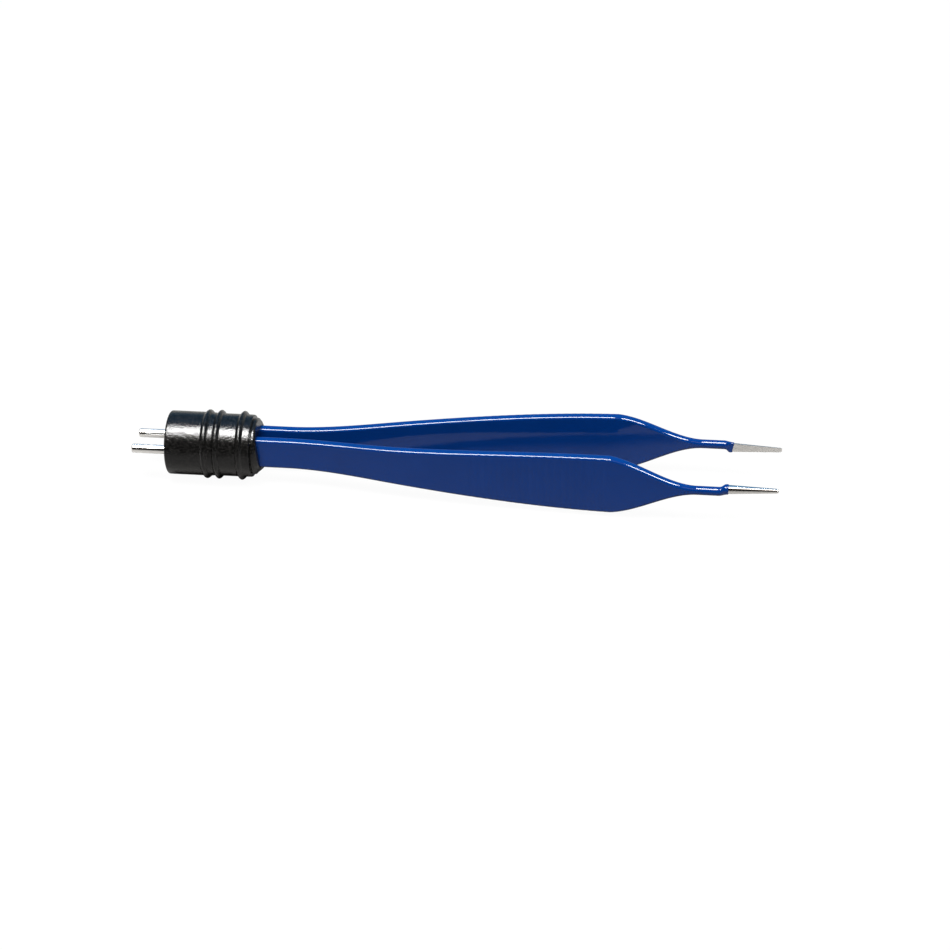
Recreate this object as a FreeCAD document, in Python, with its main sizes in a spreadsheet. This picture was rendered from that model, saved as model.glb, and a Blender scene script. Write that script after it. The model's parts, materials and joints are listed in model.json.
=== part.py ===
import FreeCAD, Part
import math
import os
import re
import Sketcher
from FreeCAD import Placement, Rotation, Vector

# Two-pin spring forceps with insulated blades and a ringed plug.
# X runs from the plug's rear face (x = 0) to the tips, Y is the opening direction,
# Z is up while the forceps lie on their side. The near blade is the one at -Y.

DIMENSIONS = {
    # plug housing
    "housing_radius": "6.13",
    "waist_radius": "6.02",
    "housing_edge": "0.4",
    "bore_radius": "4.85",
    "bore_depth": "14.6",
    "ring_radius": "6.65",
    "ring_width": "1.3",
    "ring_one_x": "7.6",
    "ring_two_x": "9.9",
    "ring_three_x": "14.4",
    "collar_radius": "5.98",
    "collar_end_x": "16.45",
    "groove_radius": "5.25",
    "lip_radius": "5.43",
    "lip_start_x": "16.6",
    "lip_end_x": "17.2",
    "lip_corner": "0.2",
    "nose_x": "17.8",
    "nose_slant": "0.1",
    "nose_radius": "4.2",
    "opening_gap": "0.12",
    # pin carrier and tang spacer
    "carrier_depth": "3.6",
    "glue_gap": "0.02",
    "spacer_thickness": "1.9",
    "spacer_front_thickness": "1.2",
    "spacer_height": "5.0",
    "spacer_seat": "1.4",
    "spacer_front_gap": "0.6",
    # contact pins
    "pin_pitch": "6.35",
    "pin_radius": "0.87",
    "pin_length": "6.84",
    "pin_nose": "0.3",
    "pin_shank_radius": "1.1",
    "pin_flange_radius": "1.45",
    "pin_flange_depth": "0.8",
    "pin_tail_x": "8.6",
    "tail_gap": "0.16",
    # tang rivets
    "rivet_x": "6.5",
    "rivet_radius": "0.5",
    "rivet_head_radius": "0.95",
    "rivet_head_height": "0.35",
    "rivet_gap": "0.08",
    "head_gap": "0.12",
    # spring blades
    "blade_thickness": "1.27",
    "blade_corner": "0.18",
    "tang_x": "4.9",
    "bend_x": "23",
    "bend_offset": "2.34",
    "bend_half": "2.62",
    "belly_x": "46",
    "belly_offset": "5.42",
    "belly_slope": "0.14",
    "belly_half": "3.42",
    "belly_half_slope": "0.062",
    "shoulder_x": "85.8",
    "shoulder_offset": "8.42",
    "shoulder_slope": "0.035",
    "shoulder_half": "5.39",
    "neck_start_slope": "0.1",
    "neck_start_half_slope": "-0.12",
    "neck_x": "102",
    "neck_offset": "9.18",
    "neck_half": "0.5",
    "neck_thickness": "1.02",
    "neck_corner": "0.44",
    "neck_end_x": "106.3",
    # bare tips
    "pad_x": "107.5",
    "pad_offset": "8.8",
    "pad_half": "0.92",
    "pad_thickness": "1.1",
    "pad_back": "0.78",
    "pad_edge": "0.07",
    "tip_x": "117.2",
    "tip_offset": "8.27",
    "tip_half": "0.4",
    "tip_thickness": "0.44",
    "tip_back": "0.33",
    "tip_edge": "0.04",
    "tip_round": "0.35",
    "point_half": "0.22",
    "point_thickness": "0.26",
    # insulating coat
    "coat_thickness": "0.33",
    "coat_start_x": "11",
    "coat_end_x": "107.9",
    "coat_rim": "0.18",
    "coat_feather": "0.08",
    # grip flutes across the outer faces
    "flute_start_x": "59.6",
    "flute_end_x": "84.6",
    "flute_pitch": "1.55",
    "steel_flute_radius": "0.5",
    "steel_flute_depth": "0.14",
    "coat_flute_radius": "1.1",
    "coat_flute_depth": "0.07",
}

doc = FreeCAD.newDocument("Forceps")
sheet = doc.addObject("Spreadsheet::Sheet", "Sizes")
for row, (alias, value) in enumerate(DIMENSIONS.items(), start=1):
    sheet.set(f"A{row}", alias)
    sheet.set(f"B{row}", value)
    sheet.setAlias(f"B{row}", alias)
doc.recompute()


# Expressions and sketches

def bound(text):
    """Turn the plain size names in a formula into references to the sheet's cells."""
    return re.sub(r"[a-z][a-z_]+", lambda word: swap_name(word.group(0)), text)


def swap_name(word):
    return f"Sizes.{word}" if word in DIMENSIONS else word


def number(text):
    """The present value of a formula."""
    return float(sheet.evalExpression(bound(text)))


def bind(thing, field, text):
    thing.setExpression(field, bound(text))


def origin_plane(body, role):
    return next(plane for plane in body.Origin.OriginFeatures if plane.Role == role)


def new_body(name):
    return doc.addObject("PartDesign::Body", name)


def new_sketch(body, name, role, offset="0"):
    """A sketch on one of the body's own origin planes, set off along that plane's normal."""
    sketch = body.newObject("Sketcher::SketchObject", name)
    sketch.AttachmentSupport = (origin_plane(body, role), [""])
    sketch.MapMode = "FlatFace"
    bind(sketch, "AttachmentOffset.Base.z", offset)
    return sketch


def arc_through(start, end, radius):
    """A short arc from start to end that bulges to the right of that direction for a
    positive radius and to the left for a negative one."""
    size = abs(radius)
    chord = end - start
    outward = Vector(chord.y, -chord.x, 0).normalize() * math.copysign(1, radius)
    depth = math.sqrt(max(size ** 2 - (chord.Length / 2) ** 2, 0))
    centre = (start + end) / 2 - outward * depth
    first, last = (start, end) if radius > 0 else (end, start)
    turn_from = math.atan2(first.y - centre.y, first.x - centre.x)
    turn_to = math.atan2(last.y - centre.y, last.x - centre.x)
    if turn_to < turn_from:
        turn_to += 2 * math.pi
    circle = Part.Circle(centre, Vector(0, 0, 1), size)
    return Part.ArcOfCircle(circle, turn_from, turn_to)


def draw_outline(sketch, corners):
    """Draw a closed outline. Each corner is (x, y) or (x, y, radius), in formulas, and
    the radius makes the edge to the next corner an arc."""
    points = [Vector(number(corner[0]), number(corner[1]), 0) for corner in corners]
    edges = []
    for index, corner in enumerate(corners):
        start, end = points[index], points[(index + 1) % len(points)]
        if len(corner) == 3:
            edges.append(arc_through(start, end, number(corner[2])))
        else:
            edges.append(Part.LineSegment(start, end))
    first = len(sketch.Geometry)
    sketch.addGeometry(edges, False)
    ends = []
    for index, start in enumerate(points):
        drawn = sketch.Geometry[first + index]
        forward = (drawn.StartPoint - start).Length < (drawn.EndPoint - start).Length
        ends.append((1, 2) if forward else (2, 1))
    rules = []
    formulas = []
    for index, corner in enumerate(corners):
        edge = first + index
        following = (index + 1) % len(corners)
        rules.append(Sketcher.Constraint(
            "Coincident", edge, ends[index][1], first + following, ends[following][0]))
        formulas.append(None)
        for axis, text, value in zip("XY", corner, points[index]):
            rules.append(Sketcher.Constraint(
                f"Distance{axis}", -1, 1, edge, ends[index][0], value))
            formulas.append(text)
        if len(corner) == 3:
            rules.append(Sketcher.Constraint("Radius", edge, abs(number(corner[2]))))
            formulas.append(f"abs({corner[2]})")
    base = len(sketch.Constraints)
    sketch.addConstraint(rules)
    for index, text in enumerate(formulas):
        if text is not None:
            bind(sketch, f"Constraints[{base + index}]", text)


def draw_circle(sketch, x, y, radius):
    edge = len(sketch.Geometry)
    centre = Vector(number(x), number(y), 0)
    sketch.addGeometry(Part.Circle(centre, Vector(0, 0, 1), number(radius)), False)
    base = len(sketch.Constraints)
    sketch.addConstraint([
        Sketcher.Constraint("DistanceX", -1, 1, edge, 3, centre.x),
        Sketcher.Constraint("DistanceY", -1, 1, edge, 3, centre.y),
        Sketcher.Constraint("Radius", edge, number(radius)),
    ])
    for index, text in enumerate((x, y, radius)):
        bind(sketch, f"Constraints[{base + index}]", text)


def box_corners(left, bottom, right, top):
    return [(left, bottom), (right, bottom), (right, top), (left, top)]


# Features

def revolve(body, sketch, name):
    """Turn a profile about the sketch's own horizontal axis."""
    turned = body.newObject("PartDesign::Revolution", name)
    turned.Profile = sketch
    turned.ReferenceAxis = (sketch, ["H_Axis"])
    turned.Angle = 360
    return turned


def pad(body, sketch, name, length, both_ways=False):
    raised = body.newObject("PartDesign::Pad", name)
    raised.Profile = sketch
    raised.Midplane = both_ways
    bind(raised, "Length", length)
    return raised


def pocket(body, sketch, name, depth, both_ways=False):
    """Cut the sketch's area away, against its normal or to both sides of its plane."""
    cut = body.newObject("PartDesign::Pocket", name)
    cut.Profile = sketch
    cut.Midplane = both_ways
    bind(cut, "Length", depth)
    return cut


def cut_away(name, label, base, tool):
    cut = doc.addObject("Part::Cut", name)
    cut.Label = label
    cut.Base = base
    cut.Tool = tool
    return cut


def compound(name, links):
    group = doc.addObject("Part::Compound", name)
    group.Links = links
    return group


def mirrored(source, name, label):
    """The far-side twin of a near-side piece."""
    twin = doc.addObject("Part::Mirroring", name)
    twin.Label = label
    twin.Source = source
    twin.Normal = Vector(0, 1, 0)
    return twin


# Plug housing: one turned moulding with three rings, a collar and a lip, bored from
# the rear. Its nose ends on a slant and has one opening that both blades pass through.

def bead(centre, width, foot, crest):
    """Two corners of a housing profile, with the round bead between them. The bead's
    radius follows from its width and its rise."""
    rise = f"({crest} - {foot})"
    radius = f"-(({width} / 2)^2 + {rise}^2) / (2 * {rise})"
    return [
        (f"{centre} - {width} / 2", foot, radius),
        (f"{centre} + {width} / 2", foot),
    ]


NOSE_END = "(nose_x + nose_slant * housing_radius)"


def make_housing():
    body = new_body("PlugHousing")
    body.Label = "plug_housing"
    profile = new_sketch(body, "HousingProfile", "XY_Plane")
    corners = [
        ("0", "bore_radius"),
        ("0", "housing_radius - housing_edge", "-housing_edge"),
        ("housing_edge", "housing_radius"),
    ]
    corners += bead("ring_one_x", "ring_width", "housing_radius", "ring_radius")
    corners += bead("ring_two_x", "ring_width", "waist_radius", "ring_radius")
    corners += bead("ring_three_x", "ring_width", "waist_radius", "ring_radius")
    corners += [
        ("collar_end_x - lip_corner", "collar_radius", "-lip_corner"),
        ("collar_end_x", "collar_radius - lip_corner"),
        ("collar_end_x", "groove_radius"),
        ("lip_start_x", "groove_radius"),
        ("lip_start_x", "lip_radius - lip_corner", "-lip_corner"),
        ("lip_start_x + lip_corner", "lip_radius"),
        ("lip_end_x - lip_corner", "lip_radius", "-lip_corner"),
        ("lip_end_x", "lip_radius - lip_corner"),
        (NOSE_END, "nose_radius"),
        (NOSE_END, "0"),
        ("bore_depth", "0"),
        ("bore_depth", "bore_radius"),
    ]
    draw_outline(profile, corners)
    revolve(body, profile, "HousingTurned")
    slant = new_sketch(body, "NoseSlant", "XZ_Plane")
    draw_outline(slant, [
        ("nose_x - nose_slant * housing_radius", "housing_radius"),
        (NOSE_END, "-housing_radius"),
        (f"{NOSE_END} + housing_edge", "-housing_radius"),
        (f"{NOSE_END} + housing_edge", "housing_radius"),
    ])
    pocket(body, slant, "NoseSlantCut", "4 * housing_radius", both_ways=True)
    opening = new_sketch(body, "NoseOpening", "YZ_Plane", f"{NOSE_END} + housing_edge")
    half_width = "(bend_offset + blade_thickness / 2 + coat_thickness + opening_gap)"
    half_height = "(bend_half + coat_thickness + opening_gap)"
    draw_outline(opening, box_corners(
        f"-{half_width}", f"-{half_height}", half_width, half_height))
    pocket(body, opening, "NoseCut", f"{NOSE_END} + 2 * housing_edge - bore_depth")
    return body


# Pin carrier: a disc glued into the rear of the bore, with two pin holes and the
# spacer's seat

def make_carrier():
    body = new_body("PinCarrier")
    body.Label = "pin_carrier"
    disc = new_sketch(body, "CarrierDisc", "YZ_Plane")
    draw_circle(disc, "0", "0", "bore_radius - glue_gap")
    pad(body, disc, "CarrierPad", "carrier_depth")
    holes = new_sketch(body, "CarrierHoles", "YZ_Plane")
    draw_circle(holes, "-pin_pitch / 2", "0", "pin_shank_radius + glue_gap")
    draw_circle(holes, "pin_pitch / 2", "0", "pin_shank_radius + glue_gap")
    pocket(body, holes, "CarrierBores", "3 * carrier_depth", both_ways=True)
    seat = new_sketch(body, "SpacerSeat", "YZ_Plane", "carrier_depth")
    half_width = "(spacer_thickness / 2 + glue_gap)"
    half_height = "(spacer_height / 2 + glue_gap)"
    draw_outline(seat, box_corners(
        f"-{half_width}", f"-{half_height}", half_width, half_height))
    pocket(body, seat, "SeatCut", "spacer_seat")
    return body


# Tang spacer: a flat insulating wedge that stands in the carrier between the tangs

def make_spacer():
    body = new_body("TangSpacer")
    body.Label = "tang_spacer"
    plan = new_sketch(body, "SpacerPlan", "XY_Plane")
    back = "carrier_depth - spacer_seat"
    front = "bore_depth - spacer_front_gap"
    draw_outline(plan, [
        (back, "-spacer_thickness / 2"),
        ("rivet_x + rivet_head_radius", "-spacer_thickness / 2"),
        (front, "-spacer_front_thickness / 2"),
        (front, "spacer_front_thickness / 2"),
        ("rivet_x + rivet_head_radius", "spacer_thickness / 2"),
        (back, "spacer_thickness / 2"),
    ])
    pad(body, plan, "SpacerPad", "spacer_height", both_ways=True)
    return body


# Contact pins: turned pins with a rounded nose, a shank that fills the carrier's hole
# and a flange, whose tail is milled flat where it lies against its tang's outer face

TAIL_FLAT = "(bend_offset + blade_thickness / 2 + tail_gap)"


def make_pin():
    body = new_body("NearContactPin")
    body.Label = "near_contact_pin"
    bind(body, "Placement.Base.y", "-pin_pitch / 2")
    profile = new_sketch(body, "PinProfile", "XY_Plane")
    draw_outline(profile, [
        ("-pin_length", "0"),
        ("-pin_length", "pin_radius - pin_nose", "-pin_nose"),
        ("pin_nose - pin_length", "pin_radius"),
        ("0", "pin_radius"),
        ("0", "pin_shank_radius"),
        ("carrier_depth", "pin_shank_radius"),
        ("carrier_depth", "pin_flange_radius"),
        ("carrier_depth + pin_flange_depth", "pin_flange_radius"),
        ("carrier_depth + pin_flange_depth", "pin_radius"),
        ("pin_tail_x", "pin_radius"),
        ("pin_tail_x", "0"),
    ])
    revolve(body, profile, "PinTurned")
    flat = new_sketch(body, "TailFlat", "XY_Plane")
    flange_end = "carrier_depth + pin_flange_depth"
    draw_outline(flat, box_corners(
        flange_end, f"pin_pitch / 2 - {TAIL_FLAT}",
        "pin_tail_x + pin_radius", "2 * pin_radius"))
    pocket(body, flat, "TailCut", "4 * pin_radius", both_ways=True)
    hole = new_sketch(body, "TailHole", "XZ_Plane")
    draw_circle(hole, "rivet_x", "0", "rivet_radius + glue_gap")
    pocket(body, hole, "TailBore", "4 * pin_radius", both_ways=True)
    return body


# Tang rivets: each joins a tang to its pin's tail and lets it tilt a little

def make_rivet():
    body = new_body("NearRivet")
    body.Label = "near_tang_rivet"
    profile = new_sketch(body, "RivetProfile", "XY_Plane")
    inner = "-(bend_offset - blade_thickness / 2 - head_gap)"
    outer = "-(pin_pitch / 2 + pin_radius)"
    draw_outline(profile, [
        ("0", f"{inner} + rivet_head_height"),
        ("0", f"{outer} - rivet_head_height"),
        ("rivet_head_radius * 0.8", f"{outer} - rivet_head_height"),
        ("rivet_head_radius", f"{outer} - rivet_head_height / 2"),
        ("rivet_head_radius", outer),
        ("rivet_radius", outer),
        ("rivet_radius", inner),
        ("rivet_head_radius", inner),
        ("rivet_head_radius", f"{inner} + rivet_head_height"),
    ])
    turned = body.newObject("PartDesign::Revolution", "RivetTurned")
    turned.Profile = profile
    turned.ReferenceAxis = (profile, ["V_Axis"])
    turned.Angle = 360
    bind(body, "Placement.Base.x", "rivet_x")
    return body


# Blade sections: the spring blade is lofted through upright sections. Its offset from
# the middle plane and its half width are smooth curves through four named places:
# bend, belly, shoulder and neck.

def curve(u, span, start, start_slope, end, end_slope):
    """A cubic from start to end with the given slopes, at the fraction u of its span."""
    return (f"({start}) * {(1 + 2 * u) * (1 - u) ** 2:.6f}"
            f" + ({start_slope}) * ({span}) * {u * (1 - u) ** 2:.6f}"
            f" + ({end}) * {u ** 2 * (3 - 2 * u):.6f}"
            f" - ({end_slope}) * ({span}) * {u ** 2 * (1 - u):.6f}")


def mix(u, start, end):
    return f"({start}) * {1 - u:.6f} + ({end}) * {u:.6f}"


class Station:
    """One upright section of the bare blade, in formulas: its place along X, the offset
    of its middle, its half width, its thickness and its outer and inner corner radii."""

    def __init__(self, x, offset, half, thickness, back, edge):
        self.x = x
        self.offset = offset
        self.half = half
        self.thickness = thickness
        self.back = back
        self.edge = edge

    def grown(self, wall):
        """The same section with an even wall of coat round it."""
        return Station(
            self.x, self.offset, f"{self.half} + {wall}",
            f"{self.thickness} + 2 * {wall}",
            f"{self.back} + {wall}", f"{self.edge} + {wall}")


def flat_station(x):
    return Station(x, "bend_offset", "bend_half", "blade_thickness",
                   "blade_corner", "blade_corner")


def limb_station(u, place):
    """A section between the bend and the belly, or between the belly and the shoulder."""
    if place == "rear":
        span = "belly_x - bend_x"
        return Station(
            mix(u, "bend_x", "belly_x"),
            curve(u, span, "bend_offset", "0", "belly_offset", "belly_slope"),
            curve(u, span, "bend_half", "0", "belly_half", "belly_half_slope"),
            "blade_thickness", "blade_corner", "blade_corner")
    span = "shoulder_x - belly_x"
    return Station(
        mix(u, "belly_x", "shoulder_x"),
        curve(u, span, "belly_offset", "belly_slope", "shoulder_offset", "shoulder_slope"),
        curve(u, span, "belly_half", "belly_half_slope", "shoulder_half", "0"),
        "blade_thickness", "blade_corner", "blade_corner")


def neck_station(u):
    span = "neck_x - shoulder_x"
    return Station(
        mix(u, "shoulder_x", "neck_x"),
        curve(u, span, "shoulder_offset", "neck_start_slope", "neck_offset", "0"),
        curve(u, span, "shoulder_half", "neck_start_half_slope", "neck_half", "0"),
        mix(u, "blade_thickness", "neck_thickness"),
        mix(u, "blade_corner", "neck_corner"),
        mix(u, "blade_corner", "neck_corner"))


REAR_STEPS = 4
GRIP_STEPS = 5
NECK_STEPS = 7

LIMB = [limb_station(step / REAR_STEPS, "rear") for step in range(REAR_STEPS)]
LIMB += [limb_station(step / GRIP_STEPS, "grip") for step in range(GRIP_STEPS + 1)]
NECK = [neck_station(step / NECK_STEPS) for step in range(NECK_STEPS + 1)]
NECK_END = Station("neck_end_x", "neck_offset", "neck_half", "neck_thickness",
                   "neck_corner", "neck_corner")
PAD = Station("pad_x", "pad_offset", "pad_half", "pad_thickness", "pad_back", "pad_edge")
TIP = Station("tip_x - tip_round", "tip_offset", "tip_half", "tip_thickness",
              "tip_back", "tip_edge")
POINT = Station("tip_x", "tip_offset", "point_half", "point_thickness",
                "point_thickness / 3", "tip_edge")


def draw_section(body, name, station):
    """One rounded section of the near blade, whose outer face is towards -Y."""
    sketch = new_sketch(body, name, "YZ_Plane", station.x)
    outer = f"-({station.offset}) - ({station.thickness}) / 2"
    inner = f"-({station.offset}) + ({station.thickness}) / 2"
    half, back, edge = f"({station.half})", f"({station.back})", f"({station.edge})"
    draw_outline(sketch, [
        (f"{outer} + {back}", f"-{half}"),
        (f"{inner} - {edge}", f"-{half}", edge),
        (inner, f"{edge} - {half}"),
        (inner, f"{half} - {edge}", edge),
        (f"{inner} - {edge}", half),
        (f"{outer} + {back}", half, back),
        (outer, f"{half} - {back}"),
        (outer, f"{back} - {half}", back),
    ])
    return sketch


def loft(body, name, sections, ruled=False):
    joined = body.newObject("PartDesign::AdditiveLoft", name)
    joined.Profile = sections[0]
    joined.Sections = sections[1:]
    joined.Ruled = ruled
    return joined


def loft_blade(name, start, limb, neck, tail):
    """A blade blank: straight tang, bowed limb, waisted neck and the runs after it."""
    body = new_body(name)
    tang = draw_section(body, f"{name}Tang", start)
    limb_sections = [draw_section(body, f"{name}Limb{index}", station)
                     for index, station in enumerate(limb)]
    neck_sections = [limb_sections[-1]]
    neck_sections += [draw_section(body, f"{name}Neck{index}", station)
                      for index, station in enumerate(neck[1:])]
    loft(body, f"{name}TangRun", [tang, limb_sections[0]], ruled=True)
    loft(body, f"{name}LimbRun", limb_sections)
    loft(body, f"{name}NeckRun", neck_sections)
    last = neck_sections[-1]
    for index, station in enumerate(tail):
        following = draw_section(body, f"{name}End{index}", station)
        loft(body, f"{name}EndRun{index}", [last, following], ruled=True)
        last = following
    return body


def flute_cutters(name, wall, radius, depth):
    """A row of upright rods that scores flutes across the grip's outer face. The wall
    is what covers the steel there."""
    span = "(shoulder_x - belly_x)"
    rods = []
    run = number("flute_end_x") - number("flute_start_x")
    for index in range(int(run / number("flute_pitch")) + 1):
        place = f"(flute_start_x + {index} * flute_pitch)"
        u = f"(({place} - belly_x) / {span})"
        rise = (f"belly_offset * (1 + 2 * {u}) * (1 - {u})^2"
                f" + belly_slope * {span} * {u} * (1 - {u})^2"
                f" + shoulder_offset * {u}^2 * (3 - 2 * {u})"
                f" - shoulder_slope * {span} * {u}^2 * (1 - {u})")
        rod = doc.addObject("Part::Cylinder", f"{name}{index}")
        bind(rod, "Radius", radius)
        bind(rod, "Height", "4 * shoulder_half")
        bind(rod, "Placement.Base.x", place)
        bind(rod, "Placement.Base.y",
             f"-({rise} + blade_thickness / 2 + {wall} + {radius} - {depth})")
        bind(rod, "Placement.Base.z", "-2 * shoulder_half")
        rods.append(rod)
    return rods


def make_rivet_hole():
    """The drill for the tang's rivet hole, along -Y."""
    drill = doc.addObject("Part::Cylinder", "TangDrill")
    bind(drill, "Radius", "rivet_radius + rivet_gap")
    bind(drill, "Height", "2 * bend_offset")
    drill.Placement = Placement(Vector(0, 0, 0), Rotation(Vector(1, 0, 0), 90))
    bind(drill, "Placement.Base.x", "rivet_x")
    return drill


def make_blade():
    blank = loft_blade("BladeBlank", flat_station("tang_x"), LIMB, NECK,
                       [NECK_END, PAD, TIP, POINT])
    tools = flute_cutters("SteelFlute", "0", "steel_flute_radius", "steel_flute_depth")
    tools.append(make_rivet_hole())
    return cut_away("NearBlade", "near_blade", blank, compound("BladeTools", tools))


def make_coat(blade):
    """The coat is its outer form with the fluted steel taken out of it."""
    wall = "coat_thickness"
    share = "(coat_end_x - pad_x) / (tip_x - tip_round - pad_x)"
    end = Station(
        "coat_end_x",
        f"pad_offset + (tip_offset - pad_offset) * {share}",
        f"pad_half + (tip_half - pad_half) * {share}",
        f"pad_thickness + (tip_thickness - pad_thickness) * {share}",
        f"pad_back + (tip_back - pad_back) * {share}",
        f"pad_edge + (tip_edge - pad_edge) * {share}")
    blank = loft_blade(
        "CoatBlank", flat_station("coat_start_x").grown(wall),
        [station.grown(wall) for station in LIMB],
        [station.grown(wall) for station in NECK],
        [NECK_END.grown(wall), PAD.grown("coat_rim"), end.grown("coat_feather")])
    rods = flute_cutters("CoatFlute", wall, "coat_flute_radius", "coat_flute_depth")
    fluted = cut_away("CoatFluted", "coat_outer_form", blank, compound("CoatTools", rods))
    return cut_away("NearCoat", "near_coat", fluted, blade)


housing = make_housing()
carrier = make_carrier()
spacer = make_spacer()
near_pin = make_pin()
near_rivet = make_rivet()
near_blade = make_blade()
near_coat = make_coat(near_blade)
pieces = [housing, carrier, spacer, near_pin, near_rivet, near_blade, near_coat]
pieces += [
    mirrored(near_pin, "FarContactPin", "far_contact_pin"),
    mirrored(near_rivet, "FarRivet", "far_tang_rivet"),
    mirrored(near_blade, "FarBlade", "far_blade"),
    mirrored(near_coat, "FarCoat", "far_coat"),
]
doc.recompute()

for item in doc.Objects:
    if {"Invalid", "Error"} & set(item.State):
        raise RuntimeError(f"{item.Label} did not build: {item.State}")
for piece in pieces:
    if piece.Shape.isNull() or not piece.Shape.isValid():
        raise RuntimeError(f"{piece.Label} has no valid shape")

os.makedirs("parts", exist_ok=True)
for piece in pieces:
    piece.Shape.exportStep(f"parts/{piece.Label}.step")
    bounds = piece.Shape.BoundBox
    print(f"{piece.Label}: {len(piece.Shape.Solids)} solid, {piece.Shape.Volume:.2f} mm3, "
          f"x {bounds.XMin:.2f} to {bounds.XMax:.2f}, y {bounds.YMin:.2f} to {bounds.YMax:.2f}, "
          f"z {bounds.ZMin:.2f} to {bounds.ZMax:.2f}")
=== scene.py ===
import json
import math
from dataclasses import astuple, dataclass, replace

import bmesh
import bpy
from bpy.props import FloatProperty, FloatVectorProperty, IntProperty, PointerProperty
from mathutils import Matrix, Vector


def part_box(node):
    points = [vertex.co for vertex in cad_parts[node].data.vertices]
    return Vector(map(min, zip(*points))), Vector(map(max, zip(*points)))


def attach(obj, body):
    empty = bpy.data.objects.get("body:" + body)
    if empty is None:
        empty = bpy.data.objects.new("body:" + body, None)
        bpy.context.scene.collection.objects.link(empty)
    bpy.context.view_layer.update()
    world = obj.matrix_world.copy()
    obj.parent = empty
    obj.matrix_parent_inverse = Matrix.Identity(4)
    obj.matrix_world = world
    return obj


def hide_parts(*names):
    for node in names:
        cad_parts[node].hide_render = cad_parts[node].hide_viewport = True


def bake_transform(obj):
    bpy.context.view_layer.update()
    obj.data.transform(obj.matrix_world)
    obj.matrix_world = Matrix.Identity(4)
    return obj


bl_info = {
    "name": "Insulated spring forceps",
    "version": (1, 0, 0),
    "blender": (4, 5, 0),
    "location": "3D View > Sidebar > Forceps",
    "description": "Builds the finished look of a pair of two-pin insulated forceps",
    "category": "Add Mesh",
}

# The forceps' lengths are millimetres until a mesh is made. X runs from the plug's rear
# face to the tips, Y is the opening direction and Z is up.
MM = 0.001
MICRON = 0.000001

SHARP_ANGLE = math.radians(40)
WHITE = (1.0, 1.0, 1.0, 1.0)
BLACK = (0.0, 0.0, 0.0, 1.0)

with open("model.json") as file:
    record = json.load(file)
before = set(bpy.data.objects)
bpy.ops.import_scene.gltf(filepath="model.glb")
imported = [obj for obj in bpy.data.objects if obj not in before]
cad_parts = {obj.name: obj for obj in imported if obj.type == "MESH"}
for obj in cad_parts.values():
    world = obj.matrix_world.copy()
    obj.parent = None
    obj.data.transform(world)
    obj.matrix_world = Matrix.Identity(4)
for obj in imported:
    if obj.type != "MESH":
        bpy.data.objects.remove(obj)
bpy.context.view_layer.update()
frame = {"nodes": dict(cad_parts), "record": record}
mounts = {mount["name"]: mount for mount in frame["record"]["mounts"]}

SIDES = {"near": -1, "far": 1}

housing_low, housing_high = (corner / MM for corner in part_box("plug_housing"))
pin_low, pin_high = (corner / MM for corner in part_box("near_contact_pin"))
coat_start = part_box("near_coat")[0].x / MM
pin_mount = mounts["near_pin"]
floor_height = housing_low.z


# Sizes and colours that a user would change

class PlugSizes(bpy.types.PropertyGroup):
    """Sizes of the plug housing and its pins."""

    body_radius: FloatProperty(
        name="Body radius", description="Radius of the plug's rear cylinder, in mm",
        default=6.13, min=3)
    waist_radius: FloatProperty(
        name="Waist radius", description="Radius between the rings, in mm",
        default=6.02, min=3)
    ring_radius: FloatProperty(
        name="Ring radius", description="Radius over the three rings, in mm",
        default=housing_high.z, min=3)
    ring_width: FloatProperty(
        name="Ring width", description="Width of a ring at its foot, in mm",
        default=1.4, min=0.2)
    bore_radius: FloatProperty(
        name="Bore radius",
        description="Radius of the bore that takes the pin carrier, in mm",
        default=4.85, min=1)
    segments: IntProperty(
        name="Segments", description="Faces round the plug", default=160, min=24)


class BladeSizes(bpy.types.PropertyGroup):
    """Sizes of the spring blades' coat and flutes."""

    coat_wall: FloatProperty(
        name="Coat wall", description="Thickness of the insulating coat, in mm",
        default=0.33, min=0.05)
    flute_depth: FloatProperty(
        name="Flute depth", description="Depth of a grip flute in the coat, in mm",
        default=0.08, min=0)
    flute_pitch: FloatProperty(
        name="Flute pitch",
        description="Distance from one grip flute to the next, in mm",
        default=1.55, min=0.2)
    step: FloatProperty(
        name="Step", description="Distance between the sections of a blade, in mm",
        default=0.7, min=0.1)


class FinishColours(bpy.types.PropertyGroup):
    """Colours of the finishes, in linear light."""

    coat: FloatVectorProperty(
        name="Coat", description="Blue of the insulating coat", subtype="COLOR",
        size=3, default=(0.0003, 0.0114, 0.067), min=0, max=1)
    plug: FloatVectorProperty(
        name="Plug", description="Black of the moulded plug", subtype="COLOR",
        size=3, default=(0.0026, 0.0025, 0.0024), min=0, max=1)
    steel: FloatVectorProperty(
        name="Steel", description="Colour of the bare steel", subtype="COLOR",
        size=3, default=(0.7, 0.68, 0.65), min=0, max=1)
    plating: FloatVectorProperty(
        name="Plating", description="Colour of the plated pins", subtype="COLOR",
        size=3, default=(0.88, 0.86, 0.83), min=0, max=1)


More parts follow.
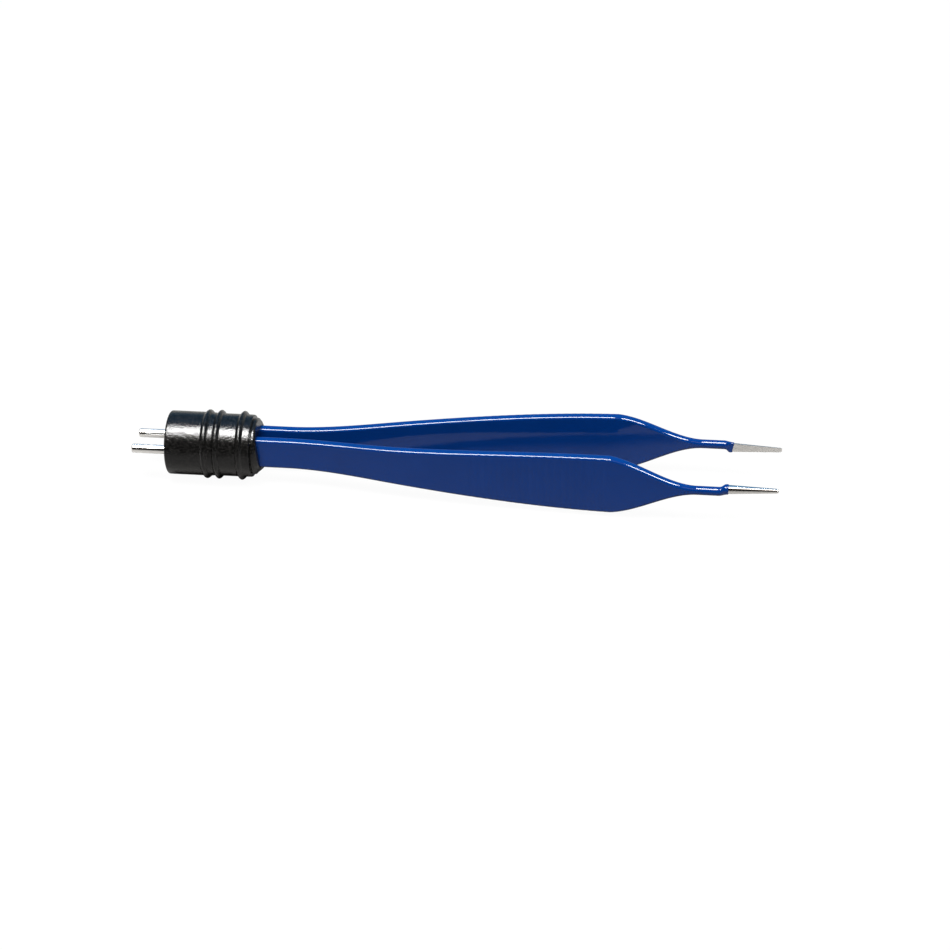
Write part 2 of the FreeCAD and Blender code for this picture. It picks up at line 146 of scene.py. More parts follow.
class StageSettings(bpy.types.PropertyGroup):
    """Camera and light settings."""

    azimuth: FloatProperty(
        name="Azimuth", description="Turn of the camera round the forceps",
        subtype="ANGLE", default=math.radians(7.87))
    elevation: FloatProperty(
        name="Elevation", description="Height angle of the camera",
        subtype="ANGLE", default=math.radians(28.85))
    roll: FloatProperty(
        name="Roll", description="Roll of the camera", subtype="ANGLE",
        default=math.radians(1.08))
    distance: FloatProperty(
        name="Distance", description="Distance from the camera to its target, in mm",
        default=559.1, min=100)
    lens: FloatProperty(
        name="Lens", description="Focal length on a 36 mm sensor, in mm",
        default=110.79, min=10)
    key_radiance: FloatProperty(
        name="Key light", description="Brightness of the overhead softbox's face",
        default=58.0, min=0)
    floor_shade: FloatProperty(
        name="Floor shade", description="How much of the lit floor the camera sees",
        subtype="FACTOR", default=0.04, min=0, max=1)


# Shader maths

class Value:
    """A node's output that takes part in Python arithmetic. Each operator adds the Math
    node that it stands for."""

    def __init__(self, finish, socket):
        self.finish = finish
        self.socket = socket

    def worked(self, operation, first, second):
        """The output of a Math node that works on two values."""
        return self.finish.node(
            "ShaderNodeMath", {"operation": operation}, {0: first, 1: second})

    def __add__(self, other):
        return self.worked("ADD", self, other)

    def __sub__(self, other):
        return self.worked("SUBTRACT", self, other)

    def __rsub__(self, other):
        return self.worked("SUBTRACT", other, self)

    def __mul__(self, other):
        return self.worked("MULTIPLY", self, other)

    def __truediv__(self, other):
        return self.worked("DIVIDE", self, other)

    def __pow__(self, other):
        return self.worked("POWER", self, other)

    def between(self, low, high):
        """0 below low, 1 above high and a smooth step between them."""
        return self.finish.node(
            "ShaderNodeMapRange", {"interpolation_type": "SMOOTHSTEP"},
            {"Value": self, "From Min": low, "From Max": high})


class Finish:
    """A node tree, with one method that adds any node to it."""

    def __init__(self, owner):
        owner.use_nodes = True
        self.tree = owner.node_tree
        self.tree.nodes.clear()

    def node(self, kind, settings=None, sockets=None, output=0):
        """Add a node, apply its settings, then fill or link its sockets."""
        made = self.tree.nodes.new(kind)
        for name, setting in (settings or {}).items():
            setattr(made, name, setting)
        for name, value in (sockets or {}).items():
            if isinstance(value, Value):
                self.tree.links.new(value.socket, made.inputs[name])
            else:
                made.inputs[name].default_value = value
        return Value(self, made.outputs[output]) if made.outputs else None

    def coordinate(self, name, axis=None):
        """A texture coordinate, or what it says along one axis."""
        found = self.node("ShaderNodeTexCoord", output=name)
        if axis is None:
            return found
        return self.node("ShaderNodeSeparateXYZ", None, {"Vector": found}, output=axis)

    def noise(self, place, scale, detail=2.0, stretch=None):
        """Noise with about one feature per 1/scale metres at a place in the object."""
        if stretch:
            place = self.node(
                "ShaderNodeVectorMath", {"operation": "MULTIPLY"},
                {0: place, 1: stretch})
        return self.node(
            "ShaderNodeTexNoise", None,
            {"Vector": place, "Scale": scale, "Detail": detail, "Roughness": 0.55})

    def mixed(self, share, first, second):
        """A colour between two colours."""
        return self.node(
            "ShaderNodeMix", {"data_type": "RGBA"}, {0: share, 6: first, 7: second},
            output=2)

    def bump(self, height, microns, under=None):
        """A normal that a height of some microns disturbs, over another normal."""
        sockets = {"Height": height, "Distance": microns * MICRON, "Strength": 1.0}
        if under:
            sockets["Normal"] = under
        return self.node("ShaderNodeBump", None, sockets)

    def surface(self, sockets):
        """The material's surface, from a Principled shader's sockets."""
        shader = self.node("ShaderNodeBsdfPrincipled", None, sockets)
        self.node("ShaderNodeOutputMaterial", None, {"Surface": shader})


def shade(colour, share):
    """A colour scaled to a share of its brightness, with an alpha of one."""
    return (*(channel * share for channel in colour), 1.0)


def new_finish(name):
    """A new material and its empty node tree."""
    material = bpy.data.materials.new(name)
    return material, Finish(material)


def coat_finish(colours):
    """Glossy dip coat: deep blue with soft cloudiness and a faint ripple."""
    material, finish = new_finish("blue_dip_coat")
    place = finish.coordinate("Object")
    cloud = finish.noise(place, 140.0)
    ripple = finish.noise(place, 650.0)
    grain = finish.noise(place, 5200.0)
    base = finish.mixed(cloud, shade(colours.coat, 0.9), shade(colours.coat, 1.1))
    normal = finish.bump(ripple, 10)
    normal = finish.bump(grain, 0.6, normal)
    finish.surface({
        "Base Color": base,
        "Roughness": cloud * 0.05 + 0.03,
        "IOR": 1.5,
        "Specular IOR Level": 0.3,
        "Normal": normal,
    })
    return material


def plug_finish(colours):
    """Glossy black moulding whose surface breaks the light into fine speckles."""
    material, finish = new_finish("black_moulding")
    place = finish.coordinate("Object")
    speckle = finish.noise(place, 2600.0, detail=3.0)
    patch = finish.noise(place, 420.0)
    base = finish.mixed(
        speckle.between(0.42, 0.7), shade(colours.plug, 0.5), shade(colours.plug, 2.3))
    normal = finish.bump(patch, 16)
    normal = finish.bump(speckle, 70, normal)
    finish.surface({
        "Base Color": base,
        "Roughness": speckle * 0.14 + patch * 0.1 + 0.05,
        "IOR": 1.4,
        "Normal": normal,
    })
    return material


def moulded_finish(colours):
    """Plain matte moulding of the pieces inside the plug."""
    material, finish = new_finish("matte_moulding")
    place = finish.coordinate("Object")
    grain = finish.noise(place, 2600.0, detail=3.0)
    finish.surface({
        "Base Color": finish.mixed(
            grain, shade(colours.plug, 1.2), shade(colours.plug, 2.6)),
        "Roughness": grain * 0.2 + 0.45,
        "Normal": finish.bump(grain, 10),
    })
    return material


def plated_finish(colours):
    """Bright plating with the fine rings that turning leaves, rubbed smoother along
    the flanks where a socket's springs slide."""
    material, finish = new_finish("bright_plating")
    place = finish.coordinate("Object")
    across = finish.coordinate("Normal", "Y")
    rubbed = (across * across).between(0.56, 0.7)
    rings = finish.noise(place, 900.0, stretch=(9.0, 0.6, 0.6))
    smudge = finish.noise(place, 700.0)
    finish.surface({
        "Base Color": finish.mixed(
            smudge, shade(colours.plating, 0.92), shade(colours.plating, 1.04)),
        "Metallic": 1.0,
        "Roughness": rings * 0.05 + smudge * 0.05 + 0.32 - rubbed * 0.28,
        "Normal": finish.bump(rings, 0.8),
    })
    return material


def steel_finish(colours, side_name):
    """Bare steel with a polished round back and a satin inner face with brush lines."""
    material, finish = new_finish(f"{side_name}_bare_steel")
    place = finish.coordinate("Object")
    across = finish.coordinate("Normal", "Y")
    inward = across * -SIDES[side_name]
    flat = inward.between(0.5, 0.9)
    rubbed = (inward * -1).between(0.66, 0.8)
    brush = finish.noise(place, 1500.0, detail=3.0, stretch=(0.25, 1.0, 2.2))
    mottle = finish.noise(place, 1300.0, detail=3.0)
    base = finish.mixed(mottle, shade(colours.steel, 0.88), shade(colours.steel, 1.12))
    finish.surface({
        "Base Color": base,
        "Metallic": 1.0,
        "Roughness": flat * 0.16 + brush * 0.05 + 0.17 - rubbed * 0.17,
        "Normal": finish.bump(brush * (flat * 0.8 + 0.2), 3),
    })
    return material


# Meshes

def new_piece(name, points, faces, material):
    """A smooth-shaded mesh object from points in millimetres. Points under a micron
    apart, as those round a sharp edge are, become one."""
    mesh = bpy.data.meshes.new(name)
    mesh.from_pydata([Vector(point) * MM for point in points], [], faces)
    shell = bmesh.new()
    shell.from_mesh(mesh)
    bmesh.ops.remove_doubles(shell, verts=shell.verts, dist=MICRON)
    bmesh.ops.recalc_face_normals(shell, faces=shell.faces)
    shell.to_mesh(mesh)
    shell.free()
    mesh.shade_smooth()
    mesh.set_sharp_from_angle(angle=SHARP_ANGLE)
    mesh.materials.append(material)
    piece = bpy.data.objects.new(name, mesh)
    bpy.context.scene.collection.objects.link(piece)
    return piece


def strips(rings, joined=False):
    """Points and faces of a skin over rings of equal count. Its ends are capped, or
    joined to each other."""
    count = len(rings[0])
    points = [point for ring in rings for point in ring]
    faces = []
    last = len(rings) if joined else len(rings) - 1
    for index in range(last):
        here = index * count
        there = (index + 1) % len(rings) * count
        for corner in range(count):
            beside = (corner + 1) % count
            faces.append(
                (here + corner, here + beside, there + beside, there + corner))
    if not joined:
        faces.append(tuple(range(count)))
        faces.append(tuple(range(len(points) - count, len(points))))
    return points, faces


def around(segments):
    """Sine and cosine of every segment's angle, from the top round to the far side."""
    turns = [2 * math.pi * index / segments for index in range(segments)]
    return [(math.sin(turn), math.cos(turn)) for turn in turns]


def turned(profile, segments, centre_y=0.0):
    """Rings of a profile of (x, radius) turned about an axis along X."""
    ways = around(segments)
    return [[(x, centre_y + radius * across, radius * up) for across, up in ways]
            for x, radius in profile]


def part_way(start, end, share):
    """The point that lies a share of the way from start to end."""
    return tuple(a + (b - a) * share for a, b in zip(start, end))


def share_between(x, start, end):
    """How far x has come from start to end, from 0 to 1."""
    return min(max((x - start) / (end - start), 0.0), 1.0)


def smooth(share):
    """A share that sets out and arrives gently."""
    return share * share * (3 - 2 * share)


def finish_cad_node(name, material):
    """Give a node of the frame its finish."""
    slots = frame["nodes"][name].data.materials
    slots.clear()
    slots.append(material)


# Plug housing

BODY_EDGE = 0.4
RINGS = (7.6, 9.9, 14.4)
BEAD_FULLNESS = 1.1
BEAD_STEPS = 14
COLLAR_END = 16.45
COLLAR_RADIUS = 5.98
GROOVE_RADIUS = 5.25
LIP = (16.6, 17.2)
LIP_RADIUS = 5.43
STEP_ROUND = 0.2
NOSE_X = 17.8
NOSE_SLANT = 0.1
NOSE_SLOPE = -0.85
NOSE_SHARES = (0.33, 0.67, 1.0)
OPENING = (3.42, 3.07)
OPENING_MARGIN = 0.04
SMALLEST_SHARE = 1e-6
BORE_DEPTH = 14.6
ROUND_STEPS = 5
WALL_STEPS = 4
COLLAR_STEPS = 3


def bead_points(centre, width, foot, crest):
    """A round bead across a profile, with a small fillet at each foot."""
    points = []
    for step in range(BEAD_STEPS + 1):
        share = step / BEAD_STEPS
        rise = math.sin(math.pi * share) ** BEAD_FULLNESS
        points.append((centre + width * (share - 0.5), foot + (crest - foot) * rise))
    return points


def rounded(x, radius, size, side):
    """A step's rounded shoulder at x: its rear one for side -1, its front one for 1."""
    points = []
    for step in range(ROUND_STEPS + 1):
        share = step / ROUND_STEPS
        turn = math.pi / 2 * (share if side < 0 else 1 - share)
        points.append((x - side * size * (1 - math.cos(turn)),
                       radius - size * (1 - math.sin(turn))))
    return points


def run(start, end, steps):
    """Evenly spaced points after start, as far as end."""
    return [part_way(start, end, step / steps) for step in range(1, steps + 1)]


def outer_profile(sizes):
    """The housing's turned outside from its rear edge to its lip, as (x, radius)."""
    profile = rounded(0.0, sizes.body_radius, BODY_EDGE, -1)
    feet = (sizes.body_radius, sizes.waist_radius, sizes.waist_radius)
    for centre, foot in zip(RINGS, feet):
        bead = bead_points(centre, sizes.ring_width, foot, sizes.ring_radius)
        profile += run(profile[-1], bead[0], WALL_STEPS) + bead[1:]
    collar_edge = rounded(COLLAR_END, COLLAR_RADIUS, STEP_ROUND, 1)
    profile += run(profile[-1], collar_edge[0], COLLAR_STEPS) + collar_edge[1:]
    profile += [(COLLAR_END, GROOVE_RADIUS), (LIP[0], GROOVE_RADIUS)]
    profile += rounded(LIP[0], LIP_RADIUS, STEP_ROUND, -1)
    profile += rounded(LIP[1], LIP_RADIUS, STEP_ROUND, 1)
    return profile


def nose_rim(segments):
    """The edge where the nose's cone meets its slanted end."""
    start, radius = LIP[1], LIP_RADIUS - STEP_ROUND
    rim = []
    for across, up in around(segments):
        slant = NOSE_SLANT * up
        x = (NOSE_X - slant * (radius - NOSE_SLOPE * start)) / (1 + slant * NOSE_SLOPE)
        reach = radius + NOSE_SLOPE * (x - start)
        rim.append((x, reach * across, reach * up))
    return rim


def opening_ring(rim, depth=None):
    """The nose's opening, flush with the slanted end or at a depth inside it."""
    half_width, half_height = OPENING
    ring = []
    for _, y, z in rim:
        radius = math.hypot(y, z)
        across, up = abs(y) / radius, abs(z) / radius
        reach = min(half_width / max(across, SMALLEST_SHARE),
                    half_height / max(up, SMALLEST_SHARE),
                    radius - OPENING_MARGIN) / radius
        x = NOSE_X - NOSE_SLANT * z * reach if depth is None else depth
        ring.append((x, y * reach, z * reach))
    return ring


def make_housing(sizes, material):
    """The housing's closed skin: its outside, its nose's opening and its bore."""
    rings = turned(outer_profile(sizes), sizes.segments)
    rim = nose_rim(sizes.segments)
    lip = rings[-1]
    for share in NOSE_SHARES:
        rings.append([part_way(start, end, share) for start, end in zip(lip, rim)])
    rings += [opening_ring(rim), opening_ring(rim, depth=BORE_DEPTH)]
    bore = [(BORE_DEPTH, sizes.bore_radius), (0.0, sizes.bore_radius)]
    rings += turned(bore, sizes.segments)
    return new_piece("plug_housing_shell", *strips(rings, joined=True), material)


class FORCEPS_OT_plug_housing(bpy.types.Operator):
    """Build the ringed plug housing"""

    bl_idname = "forceps.plug_housing"
    bl_label = "Plug housing"

    def execute(self, context):
        sizes = context.scene.forceps_plug
        housing = make_housing(sizes, plug_finish(context.scene.forceps_colours))
        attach(housing, "plug")
        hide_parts("plug_housing")
        return {"FINISHED"}


# Contact pins

PIN_SEGMENTS = 64
PIN_NOSE = 0.3
PIN_STEPS = 6
PIN_FULL_END = 0.2
PIN_TAIL_SHARE = 0.98
CARRIER_DEPTH = 3.6


def make_pin(side_name, material):
    """A turned pin with a rounded nose. Its tail is flat where its tang lies."""
    side = SIDES[side_name]
    radius = pin_mount["dims"]["r_mm"]
    pitch_half = abs(pin_mount["pos_m"][1]) / MM
    profile = rounded(pin_low.x, radius, PIN_NOSE, -1)
    profile += run(profile[-1], (PIN_FULL_END, radius), PIN_STEPS)
    tail_radius = radius * PIN_TAIL_SHARE
    profile += [(CARRIER_DEPTH / 2, tail_radius), (pin_high.x, tail_radius)]
    points, faces = strips(turned(profile, PIN_SEGMENTS, side * pitch_half))
    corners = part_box(f"{side_name}_contact_pin")
    flat = min(abs(corner.y) for corner in corners) / MM
    points = [(x, side * max(side * y, flat), z) if x > CARRIER_DEPTH else (x, y, z)
              for x, y, z in points]
    return new_piece(f"{side_name}_pin", points, faces, material)


class FORCEPS_OT_contact_pins(bpy.types.Operator):
    """Build the two contact pins"""

    bl_idname = "forceps.contact_pins"
    bl_label = "Contact pins"

    def execute(self, context):
        material = plated_finish(context.scene.forceps_colours)
        for side_name in SIDES:
            pin = make_pin(side_name, material)
            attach(pin, "plug")
            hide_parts(f"{side_name}_contact_pin")
        return {"FINISHED"}


class FORCEPS_OT_plug_fittings(bpy.types.Operator):
    """Finish the carrier, the spacer and the tang rivets inside the plug"""

    bl_idname = "forceps.plug_fittings"
    bl_label = "Plug fittings"

    def execute(self, context):
        colours = context.scene.forceps_colours
        moulding = moulded_finish(colours)
        for name in ("pin_carrier", "tang_spacer"):
            finish_cad_node(name, moulding)
        for side_name in SIDES:
            finish_cad_node(f"{side_name}_tang_rivet", steel_finish(colours, side_name))
        return {"FINISHED"}


# Spring blades

@dataclass(frozen=True)
class Section:
    """One upright section of a blade: the offset of its middle from the middle plane,
    its half width, its thickness, and the radii of its outer and inner corners."""

    offset: float
    half: float
    thickness: float
    back: float
    edge: float

    def grown(self, wall):
        """The section with an even wall round it."""
        return Section(self.offset, self.half + wall, self.thickness + 2 * wall,
                       self.back + wall, self.edge + wall)

    def mixed(self, other, share):
        """A section part of the way to another."""
        return Section(*part_way(astuple(self), astuple(other), share))


@dataclass(frozen=True)
class Place:
    """A place along a blade, where its offset and half width are set, and how fast
    they change with x."""

    x: float
    offset: float
    slope: float
    half: float
    half_slope: float


TANG_X = 4.9
BEND = Place(x=23.0, offset=2.34, slope=0.0, half=2.62, half_slope=0.0)
BELLY = Place(x=46.0, offset=5.42, slope=0.14, half=3.42, half_slope=0.062)
SHOULDER = Place(x=85.8, offset=8.42, slope=0.035, half=5.39, half_slope=0.0)
NECK_START = replace(SHOULDER, slope=0.1, half_slope=-0.12)
NECK = Place(x=102.0, offset=9.18, slope=0.0, half=0.5, half_slope=0.0)
BEND_END_X = 0.75 * SHOULDER.x
BLADE_THICKNESS = 1.27
BLADE_CORNER = 0.18
NECK_THICKNESS = 1.02
NECK_CORNER = 0.44
NECK_END_X = 106.3
NECK_END = Section(NECK.offset, NECK.half, NECK_THICKNESS, NECK_CORNER, NECK_CORNER)

# The flat inner face starts at PAD_X. A corner of SHARP_EDGE is too small to be seen.
SHARP_EDGE = 0.0004
PAD_X = 107.5
PAD = Section(offset=8.63, half=0.9, thickness=1.02, back=0.87, edge=SHARP_EDGE)
TIP_X = 117.2
TIP_ROUND = 0.6
TIP_STEPS = 8
TIP = Section(offset=8.25, half=0.47, thickness=0.5, back=0.44, edge=SHARP_EDGE)
POINT = Section(offset=8.2, half=0.16, thickness=0.22, back=0.08, edge=SHARP_EDGE)

COAT_END_X = 107.9
COAT_RIM = 0.12
COAT_GAP = 0.012
COAT_LEAN = {"near": 0.02, "far": 0.2}
LEAN_RUN = 1.0
RIM_STEPS = 6
INSIDE_COARSENESS = 4

FLUTE_START = 59.6
FLUTE_COUNT = 17
FLUTE_SHARPNESS = 1.5
FLUTE_STEPS = 8


def eased(x, start, end):
    """Offset and half width on the smooth curve between two places."""
    span = end.x - start.x
    u = (x - start.x) / span
    rise, hold = smooth(u), 1 - smooth(u)
    leave, arrive = span * u * (1 - u) ** 2, -span * u * u * (1 - u)
    offset = (start.offset * hold + start.slope * leave
              + end.offset * rise + end.slope * arrive)
    half = (start.half * hold + start.half_slope * leave
            + end.half * rise + end.half_slope * arrive)
    return offset, half


def blade_section(x):
    """The bare blade's section at x."""
    if x > PAD_X:
        return PAD.mixed(TIP, share_between(x, PAD_X, TIP_X - TIP_ROUND))
    if x > NECK.x:
        return NECK_END.mixed(PAD, smooth(share_between(x, NECK_END_X, PAD_X)))
    if x > SHOULDER.x:
        offset, half = eased(x, NECK_START, NECK)
    elif x > BELLY.x:
        offset, half = eased(x, BELLY, SHOULDER)
    else:
        offset, half = eased(max(x, BEND.x), BEND, BELLY)
    share = share_between(x, SHOULDER.x, NECK.x)
    corner = BLADE_CORNER + (NECK_CORNER - BLADE_CORNER) * share
    thickness = BLADE_THICKNESS + (NECK_THICKNESS - BLADE_THICKNESS) * share
    return Section(offset, half, thickness, corner, corner)


CORNER_STEPS = 7

# Shares of their lengths at which a section's faces and edges get points.
FACE_SHARES = (0.012, 0.05, 0.18, 0.5, 0.82, 0.95, 0.988)
EDGE_SHARES = (0.05, 0.5, 0.95)


def section_ring(x, section, side, flute=0.0, lean=0.0):
    """The section's outline as points. A flute presses its outer face in, and a lean
    sets its top forward."""
    outer = section.offset + section.thickness / 2
    inner = section.offset - section.thickness / 2
    half, back, edge = section.half, section.back, section.edge
    # The middle, the radius and the first angle of each corner's arc.
    corners = (
        (outer - back, half - back, back, 0.0),
        (inner + edge, half - edge, edge, 0.5 * math.pi),
        (inner + edge, edge - half, edge, math.pi),
        (outer - back, back - half, back, 1.5 * math.pi),
    )
    flats = (EDGE_SHARES, FACE_SHARES, EDGE_SHARES, FACE_SHARES)
    outline = []
    for index, (middle_y, middle_z, radius, turn) in enumerate(corners):
        for step in range(CORNER_STEPS + 1):
            angle = turn + 0.5 * math.pi * step / CORNER_STEPS
            outline.append((middle_y + radius * math.cos(angle),
                            middle_z + radius * math.sin(angle)))
        next_y, next_z, next_radius, next_turn = corners[(index + 1) % 4]
        start = outline[-1]
        end = (next_y + next_radius * math.cos(next_turn),
               next_z + next_radius * math.sin(next_turn))
        outline += [part_way(start, end, share) for share in flats[index]]
    ring = []
    for y, z in outline:
        depth = flute * max((y - (outer - back)) / back, 0.0)
        ring.append((x + lean * z, side * (y - depth), z))
    return ring


def spaced(start, end, step):
    """Evenly spaced places from start to end, no further apart than step."""
    count = max(math.ceil((end - start) / step), 1)
    return [start + (end - start) * index / count for index in range(count + 1)]


def blade_places(start, end, step):
    """Places for the sections between start and end, closer where the form turns."""
    turns = (BEND.x, SHOULDER.x, NECK_END_X, PAD_X)
    stops = [start, *(stop for stop in turns if start < stop < end), end]
    places = [start]
    for first, last in zip(stops, stops[1:]):
        fine = step if last <= SHOULDER.x else step / 2
        places += spaced(first, last, fine)[1:]
    return places


def make_blade(side_name, sizes, material):
    """The steel blade from its tang to its rounded point."""
    side = SIDES[side_name]
    body_end = TIP_X - TIP_ROUND
    rings = [section_ring(x, blade_section(x), side)
             for x in blade_places(TANG_X, body_end, sizes.step)]
    for step in range(1, TIP_STEPS + 1):
        turn = math.pi / 2 * step / TIP_STEPS
        section = TIP.mixed(POINT, 1 - math.cos(turn))
        rings.append(section_ring(body_end + TIP_ROUND * math.sin(turn), section, side))
    return new_piece(f"{side_name}_steel_blade", *strips(rings), material)


def flute_at(x, sizes):
    """How far the flutes press the coat in at x."""
    turns = (x - FLUTE_START) / sizes.flute_pitch
    if turns < -0.5 or turns > FLUTE_COUNT - 0.5:
        return 0.0
    wave = 0.5 + 0.5 * math.cos(2 * math.pi * turns)
    return sizes.flute_depth * wave ** FLUTE_SHARPNESS


def coat_places(sizes):
    """Places for the coat's sections, closer across the fluted grip."""
    first = FLUTE_START - sizes.flute_pitch / 2
    last = first + FLUTE_COUNT * sizes.flute_pitch
    places = [x for x in blade_places(coat_start, COAT_END_X - COAT_RIM, sizes.step)
              if not first <= x <= last]
    places += spaced(first, last, sizes.flute_pitch / FLUTE_STEPS)
    return sorted(places)


def make_coat(side_name, sizes, material):
    """The coat as a closed sleeve, from its outer skin round its rim to its inside."""
    lean = COAT_LEAN[side_name]

    def ring(x, wall, flute=0.0, leaning=0.0):
        section = blade_section(x).grown(wall)
        return section_ring(x, section, SIDES[side_name], flute, leaning)

    rings = []
    for x in coat_places(sizes):
        thinned = share_between(x, NECK_END_X, PAD_X)
        wall = sizes.coat_wall + (COAT_RIM - sizes.coat_wall) * thinned
        leaning = lean * share_between(x, PAD_X - LEAN_RUN, PAD_X)
        rings.append(ring(x, wall, flute_at(x, sizes), leaning))
    for step in range(1, RIM_STEPS + 1):
        turn = math.pi / 2 * step / RIM_STEPS
        x = COAT_END_X - COAT_RIM * (1 - math.sin(turn))
        rings.append(ring(x, COAT_RIM * math.cos(turn) + COAT_GAP, leaning=lean))
    inside = blade_places(
        coat_start, COAT_END_X - COAT_RIM, INSIDE_COARSENESS * sizes.step)
    rings += [ring(x, COAT_GAP) for x in reversed(inside)]
    return new_piece(f"{side_name}_dip_coat", *strips(rings, joined=True), material)


def let_bend(piece, side_name):
    """Bake the piece's transform into its mesh. Where a bend from the plug's nose to
    the grip would start and end is worked out but not used.
    """
    side = SIDES[side_name]
    start = Vector((housing_high.x, side * BEND.offset, 0.0)) * MM
    end = Vector((BEND_END_X, side * BEND.offset, 0.0)) * MM
    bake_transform(piece)


class FORCEPS_OT_steel_blades(bpy.types.Operator):
    """Build the two steel spring blades"""

    bl_idname = "forceps.steel_blades"
    bl_label = "Steel blades"

    def execute(self, context):
        scene = context.scene
        for side_name in SIDES:
            material = steel_finish(scene.forceps_colours, side_name)
            blade = make_blade(side_name, scene.forceps_blades, material)
            let_bend(blade, side_name)
            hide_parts(f"{side_name}_blade")
        return {"FINISHED"}


class FORCEPS_OT_dip_coats(bpy.types.Operator):
    """Build the insulating coats with their grip flutes"""

    bl_idname = "forceps.dip_coats"
    bl_label = "Dip coats"

    def execute(self, context):
        scene = context.scene
        material = coat_finish(scene.forceps_colours)
        for side_name in SIDES:
            coat = make_coat(side_name, scene.forceps_blades, material)
            let_bend(coat, side_name)
            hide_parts(f"{side_name}_coat")
        return {"FINISHED"}


# Stage

CAMERA_TARGET = Vector((59.17, 0.0, -4.11))
SENSOR_WIDTH = 36.0

# These four are in metres, as the lamps' reaches and sizes are. The floor's reflection
# is painted dark: it fades over FLOOR_FADE, from a soft line FLOOR_LINE to both sides
# of the middle plane.
CLIP_START = 0.01
FLOOR_SIZE = 6.0
FLOOR_FADE = 0.03
FLOOR_LINE = 0.004

FLOOR_COLOUR = (1.0, 0.98, 0.95)
FLOOR_PAINT = 0.3
FLOOR_REFLECTED = 0.5
ROOM_SHADE = (0.02, 0.02, 0.02, 1.0)
ROOM_BAND = (-0.1, 0.8)
LOW_WALL = (0.6, 0.59, 0.54, 1.0)
HIGH_WALL = (0.03, 0.2, 0.4, 1.0)
WALL_BAND = (0.08, 0.38)


def make_camera(settings):
    """A camera that looks at its target from the photograph's viewing angle."""
    turn, height, roll = settings.azimuth, settings.elevation, settings.roll
    back = Vector((math.sin(turn) * math.cos(height),
                   -math.cos(turn) * math.cos(height), math.sin(height)))
    right = Vector((math.cos(turn), math.sin(turn), 0.0))
    up = back.cross(right)
    across = right * math.cos(roll) - up * math.sin(roll)
    upward = right * math.sin(roll) + up * math.cos(roll)
    data = bpy.data.cameras.new("camera")
    data.sensor_width = SENSOR_WIDTH
    data.lens = settings.lens
    data.clip_start = CLIP_START
    camera = bpy.data.objects.new("camera", data)
    place = (CAMERA_TARGET + back * settings.distance) * MM
    camera.matrix_world = Matrix.Translation(place) @ Matrix(
        (across, upward, back)).transposed().to_4x4()
    bpy.context.scene.collection.objects.link(camera)
    bpy.context.scene.camera = camera


def make_softbox(name, direction, reach, size, radiance, colour=WHITE[:3],
                 mirrored=True):
    """A flat lamp that faces the forceps from a direction, with its reach and size in
    metres. One that isn't mirrored lights them without a reflection of its face."""
    data = bpy.data.lights.new(name, "AREA")
    data.shape = "RECTANGLE"
    data.size, data.size_y = size
    data.energy = math.pi * size[0] * size[1] * radiance
    data.color = colour
    lamp = bpy.data.objects.new(name, data)
    lamp.visible_glossy = mirrored
    aim = Vector(direction).normalized()
    side = Vector((1.0, 0.0, 0.0))
    side = (side - aim * side.dot(aim)).normalized()
    turned_frame = Matrix((side, aim.cross(side), aim)).transposed().to_4x4()
    middle = CAMERA_TARGET * MM
    lamp.matrix_world = Matrix.Translation(middle + aim * reach) @ turned_frame
    bpy.context.scene.collection.objects.link(lamp)


def make_floor(settings):
    """A pale floor that shows almost white, with the object's soft shadow. What glossy
    faces show of it fades to black towards its front, a painted dark reflection, as
    the floor there is lit."""
    half = FLOOR_SIZE / 2 / MM
    corners = [(-half, -half, floor_height), (half, -half, floor_height),
               (half, half, floor_height), (-half, half, floor_height)]
    material, finish = new_finish("pale_floor")
    looked_at = finish.node("ShaderNodeLightPath", output="Is Camera Ray")
    reflected = finish.node("ShaderNodeLightPath", output="Is Glossy Ray")
    depth = finish.coordinate("Object", "Y")
    # Painted dark reflection: glossy faces see the lit floor fade to black ahead of the
    # forceps.
    ahead = 1 - depth.between(-FLOOR_LINE, FLOOR_LINE)
    near = (ahead * (depth / FLOOR_FADE) ** 2 + 1) ** -1

    def glow(colour):
        return finish.node(
            "ShaderNodeEmission", None, {"Color": colour, "Strength": 1.0})

    def blended(share, first, second):
        return finish.node("ShaderNodeMixShader", None, {0: share, 1: first, 2: second})

    paint = finish.node(
        "ShaderNodeBsdfDiffuse", None, {"Color": shade(FLOOR_COLOUR, FLOOR_PAINT)})
    seen = blended(settings.floor_shade, glow(WHITE), paint)
    mirrored = blended(near * FLOOR_REFLECTED, glow(BLACK), paint)
    shown = blended(looked_at, blended(reflected, paint, mirrored), seen)
    finish.node("ShaderNodeOutputMaterial", None, {"Surface": shown})
    floor = new_piece("floor", corners, [(0, 1, 2, 3)], material)


def make_world():
    """White where the camera looks past the floor, and a dim room elsewhere."""
    world = bpy.data.worlds.new("room")
    bpy.context.scene.world = world
    finish = Finish(world)
    seen = finish.node("ShaderNodeLightPath", output="Is Camera Ray")
    behind = finish.coordinate("Generated", "Y")
    above = finish.coordinate("Generated", "Z")
    wall = finish.mixed(above.between(*WALL_BAND), LOW_WALL, HIGH_WALL)
    room = finish.mixed(behind.between(*ROOM_BAND), ROOM_SHADE, wall)
    colour = finish.mixed(seen, room, WHITE)
    light = finish.node(
        "ShaderNodeBackground", None, {"Color": colour, "Strength": 1.0})
    finish.node("ShaderNodeOutputWorld", None, {"Surface": light})


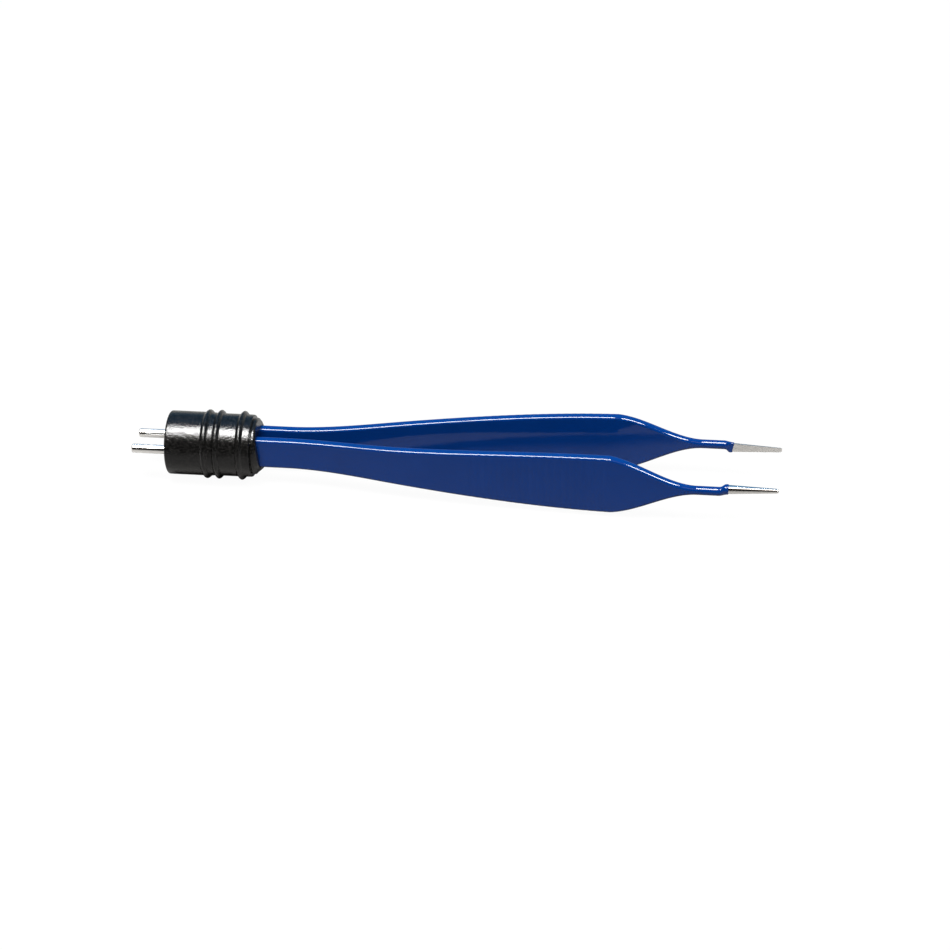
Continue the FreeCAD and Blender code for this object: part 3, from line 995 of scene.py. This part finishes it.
class FORCEPS_OT_stage(bpy.types.Operator):
    """Set up the floor, the lights and the camera"""

    bl_idname = "forceps.stage"
    bl_label = "Stage"

    def execute(self, context):
        settings = context.scene.forceps_stage
        context.scene.view_settings.view_transform = "Standard"
        make_camera(settings)
        make_world()
        make_floor(settings)
        make_softbox(
            "key_softbox", direction=(-0.22, -0.29, 0.95), reach=1.0, size=(0.5, 0.38),
            radiance=settings.key_radiance)
        make_softbox(
            "side_softbox", direction=(0.45, -0.32, 0.85), reach=1.05, size=(0.24, 0.4),
            radiance=settings.key_radiance)
        make_softbox(
            "front_fill", direction=(-0.2, -0.57, 0.8), reach=1.3, size=(1.3, 0.3),
            radiance=2.8, colour=(1.0, 0.9, 0.84))
        make_softbox(
            "cool_back", direction=(0.0, 0.33, 0.95), reach=1.1, size=(1.2, 0.5),
            radiance=0.7, colour=(0.2, 0.52, 1.0))
        make_softbox(
            "back_fill", direction=(0.1, 0.8, 0.6), reach=1.2, size=(0.9, 0.6),
            radiance=9.0, mirrored=False)
        return {"FINISHED"}


class FORCEPS_PT_builder(bpy.types.Panel):
    """The forceps' pieces, in the order that they are built"""

    bl_label = "Forceps"
    bl_idname = "FORCEPS_PT_builder"
    bl_space_type = "VIEW_3D"
    bl_region_type = "UI"
    bl_category = "Forceps"

    def draw(self, context):
        for operator in OPERATORS:
            self.layout.operator(operator.bl_idname)
        for group in GROUPS:
            settings = getattr(context.scene, group)
            box = self.layout.box()
            for name in settings.__annotations__:
                box.prop(settings, name)


GROUPS = {
    "forceps_plug": PlugSizes,
    "forceps_blades": BladeSizes,
    "forceps_colours": FinishColours,
    "forceps_stage": StageSettings,
}
OPERATORS = (
    FORCEPS_OT_stage,
    FORCEPS_OT_plug_housing,
    FORCEPS_OT_contact_pins,
    FORCEPS_OT_plug_fittings,
    FORCEPS_OT_steel_blades,
    FORCEPS_OT_dip_coats,
)
CLASSES = (*GROUPS.values(), *OPERATORS, FORCEPS_PT_builder)


def register():
    for kind in CLASSES:
        bpy.utils.register_class(kind)
    for name, kind in GROUPS.items():
        setattr(bpy.types.Scene, name, PointerProperty(type=kind))


def unregister():
    for name in GROUPS:
        delattr(bpy.types.Scene, name)
    for kind in reversed(CLASSES):
        bpy.utils.unregister_class(kind)


def main():
    register()
    for operator in OPERATORS:
        family, name = operator.bl_idname.split(".")
        getattr(getattr(bpy.ops, family), name)()


if __name__ == "__main__":
    main()
